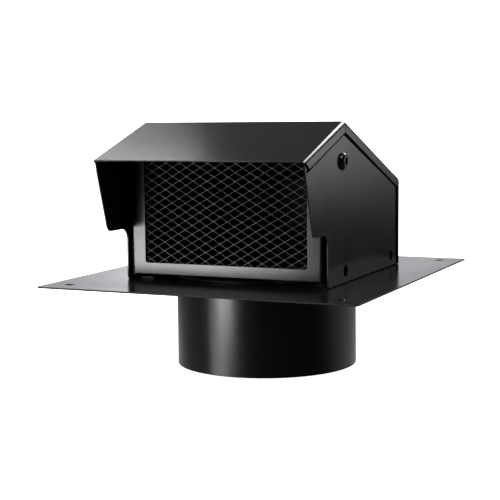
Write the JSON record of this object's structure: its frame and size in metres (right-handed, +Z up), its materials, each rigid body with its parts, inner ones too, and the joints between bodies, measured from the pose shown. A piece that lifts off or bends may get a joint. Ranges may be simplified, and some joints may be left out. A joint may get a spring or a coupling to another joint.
{
  "type": "roof vent cap",
  "caption": "Black sheet-steel vent cap: gabled hood with a diamond-mesh front on a flat flashing, over a round duct collar that passes down through the roof.",
  "frame": {"origin": "centre of the collar's lower edge, on the duct axis, which is the bottom centre of the bounding box", "axes": "+Z up along the duct axis, -Y towards the open mesh front, +X to the right of someone looking along +Y; the cap is mirrored about X = 0"},
  "size_m": [0.265, 0.29, 0.201],
  "materials": {
    "flange_coat": "satin black powder coat",
    "collar_coat": "satin black powder coat",
    "frame_coat": "satin black powder coat",
    "mesh_coat": "satin black powder coat",
    "hood_coat": "satin black powder coat",
    "fastener_black": "blackened steel"
  },
  "bodies": {
    "root": {"flange_plate": "flange_coat", "collar": "collar_coat", "screen_frame": "frame_coat", "mesh_screen": "mesh_coat", "mesh_retainer": "frame_coat", "side_panel_right": "hood_coat", "side_panel_left": "hood_coat", "roof_cover": "hood_coat", "peak_screw_right": "fastener_black", "peak_screw_left": "fastener_black", "peak_spacer_right": "fastener_black", "peak_spacer_left": "fastener_black", "peak_washer_right": "fastener_black", "peak_washer_left": "fastener_black", "peak_nut_right": "fastener_black", "peak_nut_left": "fastener_black", "frame_rivet_front_right": "fastener_black", "frame_rivet_rear_right": "fastener_black", "frame_rivet_front_left": "fastener_black", "frame_rivet_rear_left": "fastener_black"}
  },
  "joints": []
}
